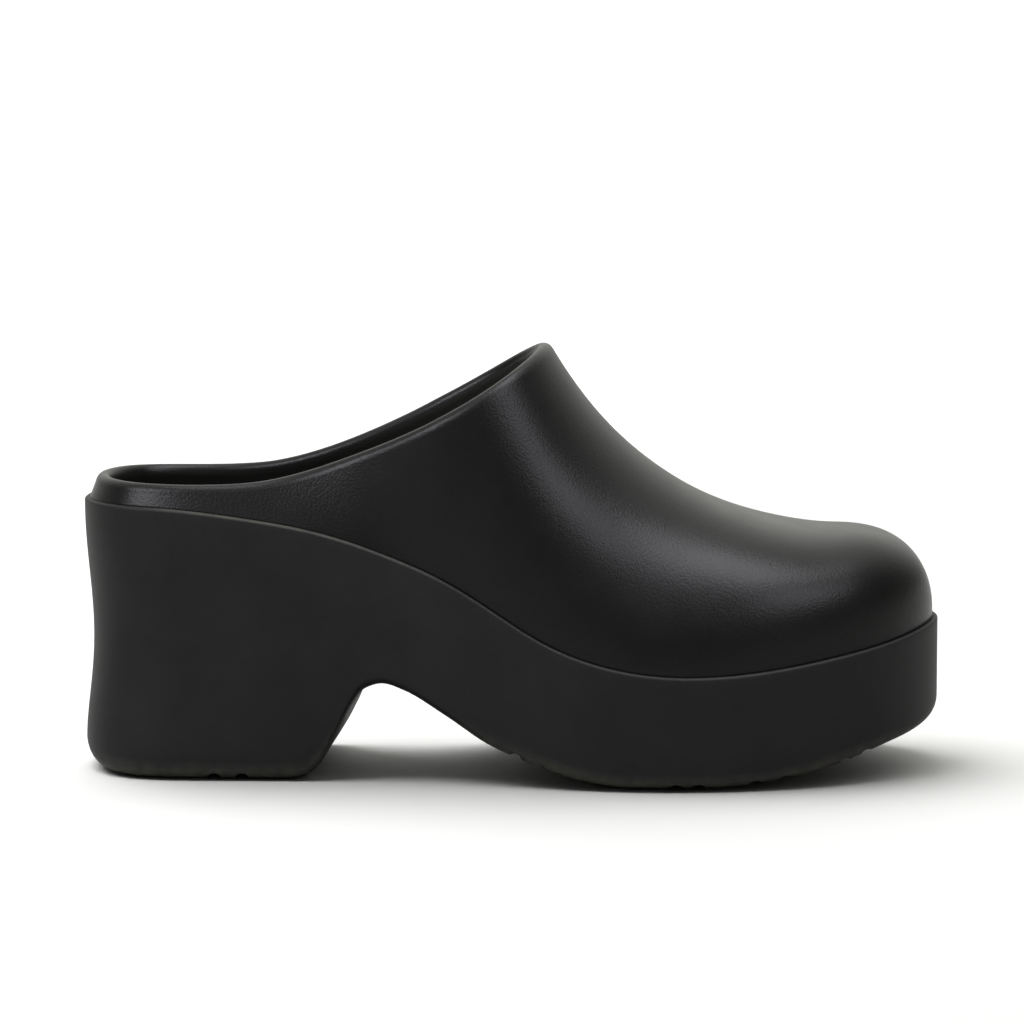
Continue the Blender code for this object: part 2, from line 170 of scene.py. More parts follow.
# Behind the throat the ridge runs on over the open collar, where it only sets how far the walls lean
RIDGE = (
    Height(-94.0, 236.0),
    Height(-50.0, 213.0),
    Height(-20.0, 178.0),
    Height(0.0, 147.5),
    Height(12.0, 125.9),
    Height(25.0, 107.3),
    Height(40.0, 92.8),
    Height(58.0, 81.4),
    Height(78.0, 74.2),
    Height(98.0, 71.5),
)
UNDERSIDE = (
    Height(-128.0, 0.0),
    Height(-66.5, 0.0),
    Height(-62.8, 0.6),
    Height(-58.4, 3.6),
    Height(-54.9, 8.8),
    Height(-51.5, 15.2),
    Height(-47.7, 22.4),
    Height(-44.0, 27.2),
    Height(-38.5, 28.8),
    Height(-32.0, 26.9),
    Height(-20.0, 19.9),
    Height(-6.0, 11.0),
    Height(8.0, 5.5),
    Height(20.0, 1.8),
    Height(34.0, 0.0),
    Height(60.0, 0.0),
    Height(72.0, 0.9),
    Height(84.0, 2.5),
    Height(98.0, 5.7),
    Height(112.0, 9.7),
    Height(128.5, 12.8),
)
# Sideways place of the ridge, which lies towards the big toe
Sideways = namedtuple("Sideways", "x y")
RIDGE_LINE = (
    Sideways(-94.0, 1.0),
    Sideways(10.0, 2.0),
    Sideways(60.0, 5.0),
    Sideways(90.0, 6.0),
)

# Power of the superellipse that gives the section across the upper, fuller over the toes
Fullness = namedtuple("Fullness", "x power")
SECTION = (
    Fullness(-94.0, 2.15),
    Fullness(-20.0, 2.0),
    Fullness(0.0, 1.85),
    Fullness(22.0, 1.8),
    Fullness(55.0, 2.1),
    Fullness(80.0, 2.8),
    Fullness(105.0, 3.0),
)

# Section planes: a fan round the heel, parallel planes between, and a fan round the toe
HEEL_FAN_X = -94.0
TOE_FAN_X = 90.0
FAN_RIBS = 63
BREAST_BACK_X = -66.0
BREAST_FRONT_X = -33.0
HEEL_STATIONS = 15
BREAST_STATIONS = 30
WAIST_STATIONS = 13
VAMP_STATIONS = 46
THROAT_STEPS = (0.05, 0.2, 0.5, 0.9, 1.5, 2.3, 3.3, 4.6, 6.2, 8.2, 10.6, 13.4, 16.4, 19.5)
FOOT_LIFTS = (0.0, 0.1, 0.25, 0.45, 0.7, 1.0, 1.4, 2.0)
UPPER_STEPS = 44
RIM_STEPS = 12
EDGE_STEPS = 10
WALL_STEPS = 24
FILLET_STEPS = 6
UNDER_STEPS = 8
SEAT_STEPS = 5
INSOLE_STEPS = 12
GROOVE_SEGMENTS = 24
GROOVE_OVERHANG = 1.2
OUTLINE_SAMPLES = 2880
SEARCH_STEPS = 40
THROAT_TOLERANCE = 1e-6
SMOOTH_ANGLE = math.radians(50.0)
GROOVE_SMOOTH_ANGLE = math.radians(35.0)

Rib = namedtuple("Rib", "part centre direction")
OUTER_SIDE = np.array((0.0, -1.0))
INNER_SIDE = np.array((0.0, 1.0))

# Finishes, with widths and depths in metres
PEBBLE_SMOOTHNESS = 0.35
INSIDE_START = 0.8
GLOSS_PATCH_WIDTH = 0.012
GLOSS_PATCH_SPREAD = 0.04
DENT_WIDTH = 0.004
CLOUD_WIDTH = 0.018
CLOUD_TONES = (0.0, 0.3)
CLOUD_STOPS = (0.08, 0.22)
CLOUD_SHADES = (0.6, 1.5)
BOUNCE_NOISE_WIDTH = 0.004
BOUNCE_NOISE_TONES = (0.1, 1.3)
SAND_WIDTH = 0.0005
SAND_DEPTH = 0.00003

# The stage, in metres
FLOOR_HALF_SIZE = 20.0
FLOOR_ROUGHNESS = 0.7
FLOOR_SHINE = 0.2
FLOOR_GLOW = (0.8, 0.8, 0.76)
FLOOR_GLOW_RISE = (0.5, 1.6)
WALL_DIRECTION = (0.0, 0.6, 0.8)
WALL_RISE = (0.3, 0.95)
ROOM_TINT = (1.0, 1.0, 0.95)
SENSOR_WIDTH = 36.0
VIEW_DEPTH = 100.0
SOFTBOX_AIM = (0.0, 0.0, 0.06)
COOL_LIGHT = (0.99, 0.98, 1.05)
# One softbox lights the floor, and the others are only mirrored in the satin skin
Softbox = namedtuple("Softbox", "side lights place size roll")
SOFTBOXES = (
    Softbox("key", "floor", (-0.45, 0.22, 1.12), (1.5, 1.1), 0.0),
    Softbox("top", "skin", (0.23, -0.2, 1.15), (0.58, 0.8), 0.0),
    Softbox("left", "skin", (-0.88, -0.91, 0.99), (0.97, 0.5), math.radians(20.0)),
    Softbox("right", "skin", (0.9, -0.92, 1.03), (0.75, 0.6), 0.0),
)


class UpperSettings(bpy.types.PropertyGroup):
    """Sizes and finish of the upper."""

    wall: FloatProperty(
        name="Wall", description="Thickness of the moulded wall", default=0.0045, unit="LENGTH"
    )
    rim_rise: FloatProperty(
        name="Rim rise", description="Height of the round rim over the wall", default=0.003, unit="LENGTH"
    )
    foot_radius: FloatProperty(
        name="Foot radius",
        description="Rounding where the wall meets the ledge",
        default=0.00025,
        precision=5,
        unit="LENGTH",
    )
    grain_size: FloatProperty(
        name="Grain size", description="Width of one pebble of the grain", default=0.0007, unit="LENGTH"
    )
    grain_depth: FloatProperty(
        name="Grain depth", description="Height of the grain", default=0.000042, precision=6, unit="LENGTH"
    )
    colour: FloatVectorProperty(
        name="Colour", description="Colour of the foam", default=(0.0045, 0.0045, 0.0045), subtype="COLOR"
    )
    # A lighter colour painted on the inner face, standing in for light that reaches into the shoe
    inner_painted_light: FloatVectorProperty(
        name="Inside colour",
        description="Colour of the dull inner face",
        default=(0.05, 0.05, 0.047),
        subtype="COLOR",
    )
    roughness: FloatProperty(
        name="Roughness",
        description="How satin the skin is",
        default=0.36,
        min=0.0,
        max=1.0,
        subtype="FACTOR",
    )
    shine: FloatProperty(
        name="Shine",
        description="Strength of the reflections",
        default=0.16,
        min=0.0,
        max=1.0,
        subtype="FACTOR",
    )


class SoleSettings(bpy.types.PropertyGroup):
    """Sizes and finish of the platform sole."""

    ledge: FloatProperty(
        name="Ledge", description="How far the sole stands out past the upper", default=0.0016, unit="LENGTH"
    )
    ledge_radius: FloatProperty(
        name="Ledge radius", description="Rounding of the ledge's outer edge", default=0.001, unit="LENGTH"
    )
    edge_radius: FloatProperty(
        name="Edge radius",
        description="Height of the rounded lower edge along the sides",
        default=0.003,
        unit="LENGTH",
    )
    groove_radius: FloatProperty(
        name="Groove radius", description="Radius of a tread groove", default=0.002, unit="LENGTH"
    )
    groove_depth: FloatProperty(
        name="Groove depth", description="Depth of a tread groove", default=0.0024, unit="LENGTH"
    )
    colour: FloatVectorProperty(
        name="Colour", description="Colour of the foam", default=(0.0045, 0.0045, 0.0045), subtype="COLOR"
    )
    # Colour of the painted floor bounce on the lower edge and of the painted glint on the ledge
    bounce_and_glint_colour: FloatVectorProperty(
        name="Worn colour",
        description="Colour of the scuffed lower edge and ledge",
        default=(0.04, 0.04, 0.031),
        subtype="COLOR",
    )
    roughness: FloatProperty(
        name="Roughness",
        description="How matte the sides are",
        default=0.58,
        min=0.0,
        max=1.0,
        subtype="FACTOR",
    )
    shine: FloatProperty(
        name="Shine",
        description="Strength of the reflections",
        default=0.19,
        min=0.0,
        max=1.0,
        subtype="FACTOR",
    )


class InsoleSettings(bpy.types.PropertyGroup):
    """Sizes and finish of the insole."""

    thickness: FloatProperty(
        name="Thickness", description="Thickness of the sheet", default=0.004, unit="LENGTH"
    )
    cup: FloatProperty(
        name="Cup", description="How far the edges rise above the middle", default=0.0012, unit="LENGTH"
    )
    gap: FloatProperty(
        name="Gap",
        description="Room between the sheet and the recess",
        default=0.0003,
        precision=5,
        unit="LENGTH",
    )
    pebble_size: FloatProperty(
        name="Pebble size", description="Width of one pebble of the face", default=0.0018, unit="LENGTH"
    )
    pebble_depth: FloatProperty(
        name="Pebble depth", description="Height of the pebbles", default=0.0002, precision=5, unit="LENGTH"
    )
    colour: FloatVectorProperty(
        name="Colour", description="Colour of the foam", default=(0.006, 0.006, 0.006), subtype="COLOR"
    )
    roughness: FloatProperty(
        name="Roughness",
        description="How matte the sheet is",
        default=0.7,
        min=0.0,
        max=1.0,
        subtype="FACTOR",
    )
    shine: FloatProperty(
        name="Shine",
        description="Strength of the reflections",
        default=0.2,
        min=0.0,
        max=1.0,
        subtype="FACTOR",
    )


class StageSettings(bpy.types.PropertyGroup):
    """The studio and the camera."""

    distance: FloatProperty(
        name="Camera distance", description="From the camera to the shoe", default=1.6, unit="LENGTH"
    )
    elevation: FloatProperty(
        name="Camera elevation",
        description="Angle of the camera above the floor",
        default=math.radians(7.3),
        subtype="ANGLE",
    )
    aim_height: FloatProperty(
        name="Aim height", description="Height that the camera looks at", default=0.0763, unit="LENGTH"
    )
    lens: FloatProperty(name="Lens", description="Focal length in millimetres", default=187.5)
    floor_colour: FloatVectorProperty(
        name="Floor colour", description="Colour of the floor", default=(0.53, 0.53, 0.53), subtype="COLOR"
    )
    back_level: FloatProperty(name="Back level", description="Light from the white wall behind", default=1.5)
    room_level: FloatProperty(name="Room level", description="Light from the rest of the room", default=0.15)
    key_power: FloatProperty(
        name="Key softbox",
        description="Power of the softbox that lights the floor",
        default=31.0,
        unit="POWER",
    )
    top_power: FloatProperty(
        name="Top softbox", description="Power of the softbox above the shoe", default=14.0, unit="POWER"
    )
    left_power: FloatProperty(
        name="Left softbox",
        description="Power of the softbox on the heel's side",
        default=24.0,
        unit="POWER",
    )
    right_power: FloatProperty(
        name="Right softbox",
        description="Power of the softbox on the toe's side",
        default=10.8,
        unit="POWER",
    )


def smooth_curve(rows, start_slope=None, end_slope=None):
    """A curve with an even change of slope through a table of two columns.

    An end that is given no slope runs out straight.
    """
    along, across = np.array(rows, float).T
    step = np.diff(along)
    rise = np.diff(across) / step
    count = len(along)
    matrix = np.zeros((count, count))
    right = np.zeros(count)
    for i in range(1, count - 1):
        matrix[i, i - 1 : i + 2] = 1 / step[i - 1], 2 / step[i - 1] + 2 / step[i], 1 / step[i]
        right[i] = 3 * (rise[i - 1] / step[i - 1] + rise[i] / step[i])
    matrix[0, :2] = (2, 1) if start_slope is None else (1, 0)
    right[0] = 3 * rise[0] if start_slope is None else start_slope
    matrix[-1, -2:] = (1, 2) if end_slope is None else (0, 1)
    right[-1] = 3 * rise[-1] if end_slope is None else end_slope
    return hermite(along, across, np.linalg.solve(matrix, right))


def steady_curve(rows):
    """A curve through a table of two columns that never overshoots its rows, so a flat stretch stays flat."""
    along, across = np.array(rows, float).T
    rise = np.diff(across) / np.diff(along)
    slopes = np.zeros(len(along))
    slopes[0], slopes[-1] = rise[0], rise[-1]
    for i in range(1, len(along) - 1):
        if rise[i - 1] * rise[i] > 0:
            slopes[i] = 2 * rise[i - 1] * rise[i] / (rise[i - 1] + rise[i])
    return hermite(along, across, slopes)


def hermite(along, across, slopes):
    """The cubic curve with these heights and slopes at these places."""

    def curve(x):
        x = np.clip(np.asarray(x, float), along[0], along[-1])
        i = np.clip(np.searchsorted(along, x) - 1, 0, len(along) - 2)
        span = along[i + 1] - along[i]
        t = (x - along[i]) / span
        ahead, bend = t * t * (3 - 2 * t), t * (1 - t)
        slope_part = span * bend * (slopes[i] * (1 - t) - slopes[i + 1] * t)
        return across[i] + (across[i + 1] - across[i]) * ahead + slope_part

    return curve


def closed_curve(points, samples):
    """Points along the smooth closed curve through these points."""
    points = np.array(points, float)
    count = len(points)
    step = np.linalg.norm(np.roll(points, -1, axis=0) - points, axis=1)
    rise = (np.roll(points, -1, axis=0) - points) / step[:, None]
    matrix = np.zeros((count, count))
    right = np.zeros((count, 2))
    for i in range(count):
        before = step[i - 1]
        matrix[i, i - 1] += 1 / before
        matrix[i, i] += 2 / before + 2 / step[i]
        matrix[i, (i + 1) % count] += 1 / step[i]
        right[i] = 3 * (rise[i - 1] / before + rise[i] / step[i])
    slopes = np.linalg.solve(matrix, right)
    knots = np.concatenate(([0.0], np.cumsum(step)))
    places = np.linspace(0.0, knots[-1], samples, endpoint=False)
    ends = [np.append(points[:, k], points[0, k]) for k in (0, 1)]
    turns = [np.append(slopes[:, k], slopes[0, k]) for k in (0, 1)]
    return np.stack([hermite(knots, ends[k], turns[k])(places) for k in (0, 1)], axis=1)


@functools.lru_cache(maxsize=None)
def outline(inset):
    """Points of the plan outline, moved in by inset along its own normals."""
    points = closed_curve([(mark.x, mark.y) for mark in OUTLINE], OUTLINE_SAMPLES)
    along = np.roll(points, -1, axis=0) - np.roll(points, 1, axis=0)
    inward = np.stack((-along[:, 1], along[:, 0]), axis=1)
    return points + inset * inward / np.linalg.norm(inward, axis=1)[:, None]


@functools.lru_cache(maxsize=None)
def outline_sides(inset):
    """The outline's outer and inner side, each as (x, y) columns from heel to toe."""
    points = outline(inset)
    points = np.roll(points, -int(points[:, 0].argmin()), axis=0)
    tip = int(points[:, 0].argmax())
    inner = np.vstack((points[tip:], points[:1]))[::-1]
    return points[: tip + 1].T, inner.T


def reach(rib, inset):
    """The place where a rib meets the outline moved in by inset."""
    away = outline(round(inset, 3)) - rib.centre
    ahead = away @ rib.direction
    aside = away @ np.array((-rib.direction[1], rib.direction[0]))
    after = np.roll(aside, -1)
    crossing = np.flatnonzero((aside * after <= 0) & (ahead > 0) & (aside != after))
    share = aside[crossing] / (aside[crossing] - after[crossing])
    distance = ahead[crossing] + share * (np.roll(ahead, -1)[crossing] - ahead[crossing])
    return rib.centre + rib.direction * distance.min()


seam_height = smooth_curve(SEAM)
collar_height = smooth_curve(COLLAR)
outer_underside = steady_curve(UNDERSIDE)
ridge_side = smooth_curve(RIDGE_LINE, start_slope=0.0, end_slope=0.0)
vamp_height = smooth_curve(RIDGE, end_slope=0.0)
section_power = smooth_curve(SECTION, start_slope=0.0, end_slope=0.0)


def fade(x, start, end):
    """Goes evenly from 1 at start to 0 at end."""
    share = np.clip((x - start) / (end - start), 0.0, 1.0)
    return 1.0 - share * share * (3.0 - 2.0 * share)


def underside_height(place):
    """Height of the underside at a place of the plan. The heel reaches further forward on the inner side."""
    across = min(max(place[1] / HEEL_HALF_WIDTH, -1.0), 1.0)
    ahead = BREAST_SLANT * (1 + across) / 2 * fade(place[0], *BREAST_SLANT_FADE)
    return float(outer_underside(place[0] - ahead))


def ridge_height(x, ledge):
    """Top line of the upper: the vamp, then a rounded quarter over the toe down to the seam at the tip."""
    start, end = RIDGE[-1].x, outline(ledge)[:, 0].max()
    share = np.clip((x - start) / (end - start), 0.0, 1.0)
    drop = (1 - share**TOE_ROUNDNESS) ** (1 / TOE_ROUNDNESS)
    tip = seam_height(end)
    return np.where(x <= start, vamp_height(x), tip + (vamp_height(start) - tip) * drop)


def vamp_surface(places, ledge):
    """Heights of the upper's outer face at places of the plan, from the section across the shoe at each."""
    x, y = places[:, 0], places[:, 1]
    sides = outline_sides(ledge)
    middle = ridge_side(x)
    edge = np.where(y < middle, np.interp(x, *sides[0]), np.interp(x, *sides[1]))
    share = np.clip((y - middle) / np.where(edge == middle, 1.0, edge - middle), 0.0, 1.0)
    power = section_power(x)
    arch = (1 - share**power) ** (1 / power)
    return seam_height(x) + (ridge_height(x, ledge) - seam_height(x)) * arch


@functools.lru_cache(maxsize=None)
def throat_place(ledge):
    """Where the collar's cut meets the ridge, at the front of the foot opening."""
    low, high = 0.0, RIDGE[-1].x
    while high - low > THROAT_TOLERANCE:
        middle = (low + high) / 2
        if collar_height(middle) < ridge_height(middle, ledge):
            low = middle
        else:
            high = middle
    return (low + high) / 2


def stations(ledge):
    """Places of the parallel section planes, closer together at the heel breast and the throat."""
    throat = throat_place(ledge)
    spans = (
        np.linspace(HEEL_FAN_X, BREAST_BACK_X, HEEL_STATIONS)[:-1],
        np.linspace(BREAST_BACK_X, BREAST_FRONT_X, BREAST_STATIONS)[:-1],
        np.linspace(BREAST_FRONT_X, throat - THROAT_STEPS[-1], WAIST_STATIONS)[:-1],
        throat - np.array(THROAT_STEPS[::-1]),
        np.linspace(throat, TOE_FAN_X, VAMP_STATIONS),
    )
    return np.concatenate(spans)


def fan(part, x, from_side):
    """Ribs between the outer and the inner side, round one end of the shoe."""
    centre = np.array((x, float(ridge_side(x))))
    toward = 1.0 if part == "toe" else -1.0
    turns = np.linspace(0.0, math.pi, FAN_RIBS + 2)[1:-1]
    return [
        Rib(part, centre, np.array((toward * math.sin(turn), from_side[1] * math.cos(turn))))
        for turn in turns
    ]


@functools.lru_cache(maxsize=None)
def ribs(ledge):
    """All ribs in one ring: the outer side backwards, the heel, the inner side forwards and the toe."""
    centres = [np.array((x, float(ridge_side(x)))) for x in stations(ledge)]
    outer = [Rib("middle", centre, OUTER_SIDE) for centre in centres[::-1]]
    inner = [Rib("middle", centre, INNER_SIDE) for centre in centres]
    return outer + fan("heel", HEEL_FAN_X, OUTER_SIDE) + inner + fan("toe", TOE_FAN_X, INNER_SIDE)


class Skin:
    """Points and faces of one piece, woven from a ring of columns that may share their end points."""

    def __init__(self):
        self.points = []
        self.faces = []
        self.shared = {}

    def add(self, points):
        first = len(self.points)
        self.points.extend(np.asarray(point, float) for point in points)
        return list(range(first, len(self.points)))

    def add_shared(self, name, rib, height):
        """The point on a rib's centre line at this height, one for all the ribs of that centre."""
        key = (name, float(rib.centre[0]))
        if key not in self.shared:
            self.shared[key] = self.add([(*rib.centre, height)])[0]
        return self.shared[key]

    def weave(self, columns):
        for column, follower in zip(columns, columns[1:] + columns[:1]):
            for j in range(len(column) - 1):
                face = list(dict.fromkeys((column[j], follower[j], follower[j + 1], column[j + 1])))
                if len(face) > 2:
                    self.faces.append(face)

    def to_bmesh(self):
        mesh = bmesh.new()
        verts = [mesh.verts.new(point * MM) for point in self.points]
        for face in self.faces:
            mesh.faces.new([verts[i] for i in face])
        bmesh.ops.recalc_face_normals(mesh, faces=mesh.faces)
        mesh.normal_update()
        return mesh

    def normals(self):
        mesh = self.to_bmesh()
        mesh.verts.ensure_lookup_table()
        found = np.array([vert.normal for vert in mesh.verts])
        mesh.free()
        return found


def make_piece(name, skin, material):
    """One smooth shaded object from a skin."""
    mesh = bpy.data.meshes.new(name)
    built = skin.to_bmesh()
    built.to_mesh(mesh)
    built.free()
    mesh.shade_smooth()
    mesh.set_sharp_from_angle(angle=SMOOTH_ANGLE)
    mesh.materials.append(material)
    piece = bpy.data.objects.new(name, mesh)
    bpy.context.scene.collection.objects.link(piece)
    return piece


def stand_for(piece, node):
    """Shows the piece in place of a solid, moving with the shoe."""
    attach(piece, "root")
    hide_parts(node)


def is_open(rib, ledge):
    """Whether a rib ends at the foot opening and not at the ridge."""
    return rib.part == "heel" or (rib.part == "middle" and rib.centre[0] < throat_place(ledge))


def upper_places(rib, foot, turns, ledge):
    """Points of the outer face on a rib, at turns from 0 at the seam to a right angle at the ridge."""
    seam, centre_x = float(seam_height(foot[0])), float(rib.centre[0])
    rise = float(ridge_height(centre_x, ledge)) - seam
    power = float(section_power(centre_x))
    inside = np.maximum(np.cos(turns), 0.0) ** (2 / power)
    places = rib.centre + (foot - rib.centre) * inside[:, None]
    if rib.part == "toe":
        return np.column_stack((places, vamp_surface(places, ledge)))
    lift = rise * np.sin(turns) ** (2 / power)
    lean = 0.0
    if is_open(rib, ledge):
        lean = HEEL_BAND_LEAN * float(fade(foot[0], *HEEL_BAND_FADE))
    places = places - rib.direction * (lean * lift)[:, None]
    return np.column_stack((places, seam + lift))


def turns_at_lifts(rib, foot, lifts, ledge):
    """The turns where a rib's outer face is these heights above the seam."""
    low, high = np.zeros(len(lifts)), np.full(len(lifts), math.pi / 2)
    for _ in range(SEARCH_STEPS):
        middle = (low + high) / 2
        points = upper_places(rib, foot, middle, ledge)
        base = seam_height(points[:, 0]) if rib.part == "toe" else seam_height(foot[0])
        under = points[:, 2] - base < lifts
        low, high = np.where(under, middle, low), np.where(under, high, middle)
    return (low + high) / 2


def upper_column(rib, ledge):
    """Points up the outer face on one rib, close together at the seam, to the collar or the ridge."""
    foot = reach(rib, ledge)
    end = math.pi / 2
    if is_open(rib, ledge):
        seam = float(seam_height(foot[0]))
        share = (float(collar_height(foot[0])) - seam) / (float(ridge_height(rib.centre[0], ledge)) - seam)
        end = math.asin(min(share, 1.0) ** (float(section_power(rib.centre[0])) / 2))
    low = turns_at_lifts(rib, foot, np.array(FOOT_LIFTS), ledge)
    low[0] = 0.0
    turns = np.concatenate((low, np.linspace(low[-1], end, UPPER_STEPS + 1)[1:]))
    return upper_places(rib, foot, turns, ledge)


def rounded_foot(lift, radius):
    """How far the wall draws in at this height above the ledge, as a quarter round."""
    left = np.clip(radius - lift, 0.0, radius)
    return radius - np.sqrt(radius * radius - left * left)


def upper_skin(settings, ledge):
    """The hollow upper: outer face, inner face one wall inside it, half round rim and a foot on the ledge.

    Also returns, for every point, 0 on the outer face, 1 on the inner face and a share between them on
    the rim.
    """
    wall = settings.wall / MM
    rings = ribs(ledge)
    skin = Skin()
    columns = []
    for rib in rings:
        points = upper_column(rib, ledge)
        if is_open(rib, ledge):
            columns.append(skin.add(points))
        else:
            columns.append(skin.add(points[:-1]) + [skin.add_shared("ridge", rib, points[-1][2])])
    skin.weave(columns)
    normals = skin.normals()
    points = np.array(skin.points)
    lift = points[:, 2] - seam_height(points[:, 0])
    normals[:, 2] *= np.clip(lift / (2 * wall), 0.0, 1.0)
    normals /= np.linalg.norm(normals, axis=1)[:, None]
    inner = points - wall * normals
    points -= rounded_foot(lift, settings.foot_radius / MM)[:, None] * normals
    feet = [column[0] for column in columns]
    points[feet, 2] = seam_height(points[feet, 0]) + FOOT_GAP
    inner[feet, 2] = seam_height(inner[feet, 0]) + FOOT_GAP
    skin.points = list(points)
    inside = skin.add(inner)
    inner_columns = [[inside[i] for i in column] for column in columns]
    skin.weave(inner_columns)
    skin.weave([[a[0], b[0]] for a, b in zip(columns, inner_columns)])
    first = next(i for i, rib in enumerate(rings) if rib.centre[0] == throat_place(ledge))
    loop = [i for i in range(first, len(rings)) if is_open(rings[i], ledge) or i == first]
    tops = [columns[i][-1] for i in loop]
    round_shares = add_rim(skin, tops, [inside[i] for i in tops], normals, settings.rim_rise / MM)
    return skin, np.concatenate((np.zeros(len(points)), np.ones(len(inner)), round_shares))


def add_rim(skin, tops, bottoms, normals, rise):
    """Closes the wall round the foot opening with a half round rim.

    Returns each new point's share of the way in.
    """
    places = np.array([skin.points[i] for i in tops])
    along = np.roll(places, -1, axis=0) - np.roll(places, 1, axis=0)
    out = np.cross(along, normals[tops])
    out /= np.linalg.norm(out, axis=1)[:, None]
    if out[len(out) // 2, 2] < 0:
        out = -out
    turns = np.linspace(0.0, math.pi, RIM_STEPS + 1)[1:-1]
    rim = []
    for top, bottom, up in zip(tops, bottoms, out):
        middle = (skin.points[top] + skin.points[bottom]) / 2
        half = skin.points[top] - middle
        arc = skin.add(middle + half * math.cos(t) + up * rise * math.sin(t) for t in turns)
        rim.append([top, *arc, bottom])
    skin.weave(rim)
    return np.tile(turns / math.pi, len(rim))


def lower_edge(rib, side_radius):
    """Height and undercut of the sole's rounded lower edge, which rolls up higher at the heel and the toe."""
    heel_share = fade(rib.centre[0], *HEEL_UNDERCUT_FADE)
    undercut = FOREFOOT_UNDERCUT + (HEEL_UNDERCUT - FOREFOOT_UNDERCUT) * heel_share
    end = BACK_EDGE_RADIUS if rib.part == "heel" else TOE_EDGE_RADIUS
    turned = rib.direction[0] ** EDGE_TURN_POWER
    return side_radius + (end - side_radius) * turned, float(undercut + (end - undercut) * turned)


def waist_depth(rib):
    """How far the heel's side curves in at about half its height."""
    if rib.part == "toe":
        return 0.0
    return HEEL_WAIST_DEPTH * float(fade(reach(rib, 0.0)[0], *HEEL_WAIST_FADE))


def sole_column(rib, settings, wall):
    """Points up the sole's side on one rib, from its lower edge to the seam and in over the ledge."""
    (roll, undercut), waist = lower_edge(rib, settings.edge_radius / MM), waist_depth(rib)
    ledge, ledge_radius = settings.ledge / MM, settings.ledge_radius / MM
    column = []
    for turn in np.linspace(0.0, math.pi / 2, EDGE_STEPS + 1):
        place = reach(rib, undercut * (1 - math.sin(turn)))
        column.append((*place, underside_height(place) + roll * (1 - math.cos(turn))))
    low = column[-1][2]
    high = float(seam_height(reach(rib, 0.0)[0])) - ledge_radius
    for share in np.linspace(0.0, 1.0, WALL_STEPS + 1)[1:]:
        place = reach(rib, waist * math.sin(math.pi * share**HEEL_WAIST_DROP) ** 2)
        column.append((*place, low + (high - low) * share))
    for turn in np.linspace(0.0, math.pi / 2, FILLET_STEPS + 1)[1:]:
        place = reach(rib, ledge_radius * (1 - math.cos(turn)))
        column.append((*place, float(seam_height(place[0])) - ledge_radius * (1 - math.sin(turn))))
    for inset in (ledge, ledge + 0.5 * wall, ledge + wall):
        place = reach(rib, inset)
        column.append((*place, float(seam_height(place[0]))))
    return column


def sole_skin(settings, wall, insole_thickness):
    """The platform sole with its heel, arch and toe spring, and a recess for the insole inside its ledge."""
    skin = Skin()
    columns = []
    seat_drop = FOOTBED_DROP + insole_thickness
    for rib in ribs(settings.ledge / MM):
        centre_x = rib.centre[0]
        side = sole_column(rib, settings, wall)
        under = []
        for share in np.linspace(0.0, 1.0, UNDER_STEPS + 1)[1:-1]:
            place = rib.centre + (np.array(side[0][:2]) - rib.centre) * share
            under.append((*place, underside_height(place)))
        seat_edge = np.array(side[-1][:2])
        seat = []
        for share in np.linspace(1.0, 0.0, SEAT_STEPS + 1)[:-1]:
            place = rib.centre + (seat_edge - rib.centre) * share
            seat.append((*place, float(seam_height(place[0])) - seat_drop))
        start = skin.add_shared("underside", rib, underside_height(rib.centre))
        end = skin.add_shared("seat", rib, float(seam_height(centre_x)) - seat_drop)
        columns.append([start, *skin.add(under + side + seat), end])
    skin.weave(columns)
    return skin


def insole_skin(settings, ledge, wall):
    """A sheet with rounded upper edges and a slight cup, which fills the recess in the sole."""
    thickness, gap, cup = settings.thickness / MM, settings.gap / MM, settings.cup / MM
    skin = Skin()
    columns = []

    def height(x, lift):
        return float(seam_height(x)) - FOOTBED_DROP - thickness + lift

    for rib in ribs(ledge):
        rim = reach(rib, ledge + wall + gap)
        points = []
        for share in INSOLE_UNDER_SHARES:
            place = rib.centre + (rim - rib.centre) * share
            points.append((*place, height(place[0], gap)))
        points.append((*rim, height(rim[0], gap)))
        for turn in np.linspace(0.0, math.pi / 2, FILLET_STEPS + 1):
            place = reach(rib, ledge + wall + gap + INSOLE_EDGE_RADIUS * (1 - math.cos(turn)))
            lift = thickness + cup - INSOLE_EDGE_RADIUS * (1 - math.sin(turn))
            points.append((*place, height(place[0], lift)))
        top = np.array(points[-1][:2])
        for share in np.linspace(1.0, 0.0, INSOLE_STEPS + 1)[1:-1]:
            place = rib.centre + (top - rib.centre) * share
            points.append((*place, height(place[0], thickness + cup * share**INSOLE_CUP_POWER)))
        start = skin.add_shared("below", rib, height(rib.centre[0], gap))
        end = skin.add_shared("above", rib, height(rib.centre[0], thickness))
        columns.append([start, *skin.add(points), end])
    skin.weave(columns)
    return skin


def groove_axes(settings):
    """Places and heights of the tread grooves' axes, two for each pair."""
    for pair in GROOVE_PAIRS:
        for side in (-1, 1):
            x = pair.x + side * pair.spacing / 2
            yield x, underside_height((x, 0.0)) + (settings.groove_depth - settings.groove_radius) / MM


